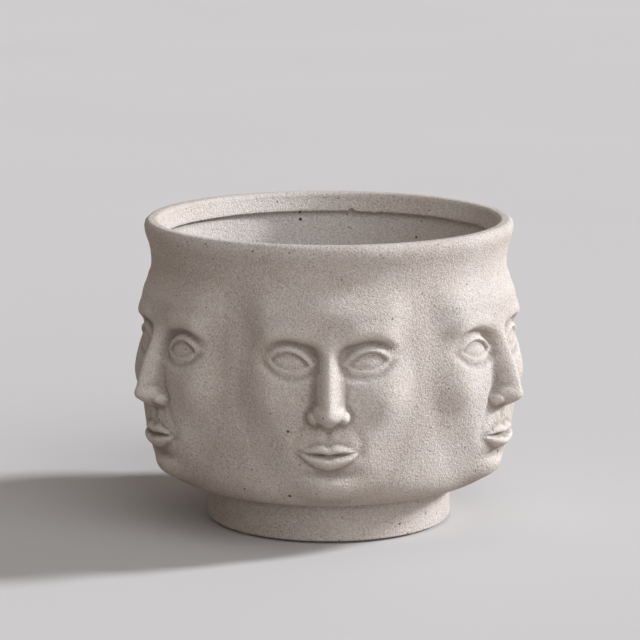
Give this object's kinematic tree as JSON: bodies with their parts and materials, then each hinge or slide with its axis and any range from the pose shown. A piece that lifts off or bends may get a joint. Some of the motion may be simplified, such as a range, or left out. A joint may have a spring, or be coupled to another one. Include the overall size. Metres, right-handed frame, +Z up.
{
  "type": "head planter",
  "caption": "Round cast stoneware planter with calm faces in relief around its wall, a plain foot and rim, and a pull-out drain stopper.",
  "frame": {"origin": "on the table plane at the middle of the foot", "axes": "+Z up along the bowl's axis, one of the faces looks along -Y"},
  "size_m": [0.1814, 0.205, 0.1433],
  "materials": {
    "stoneware": "unglazed sandy matte stoneware, warm beige with fine dark specks",
    "plug_rubber": "soft matte moulded rubber",
    "pad_rubber": "translucent matte elastomer"
  },
  "bodies": {
    "pot": {"pot_body": "stoneware", "foot_pad_1": "pad_rubber", "foot_pad_2": "pad_rubber", "foot_pad_3": "pad_rubber", "foot_pad_4": "pad_rubber"},
    "plug": {"drain_plug": "plug_rubber"}
  },
  "joints": [
    {"name": "plug_pull", "type": "slide", "parent": "pot", "child": "plug", "axis": [0, 0, 1], "range_m": [0, 0.03]}
  ]
}
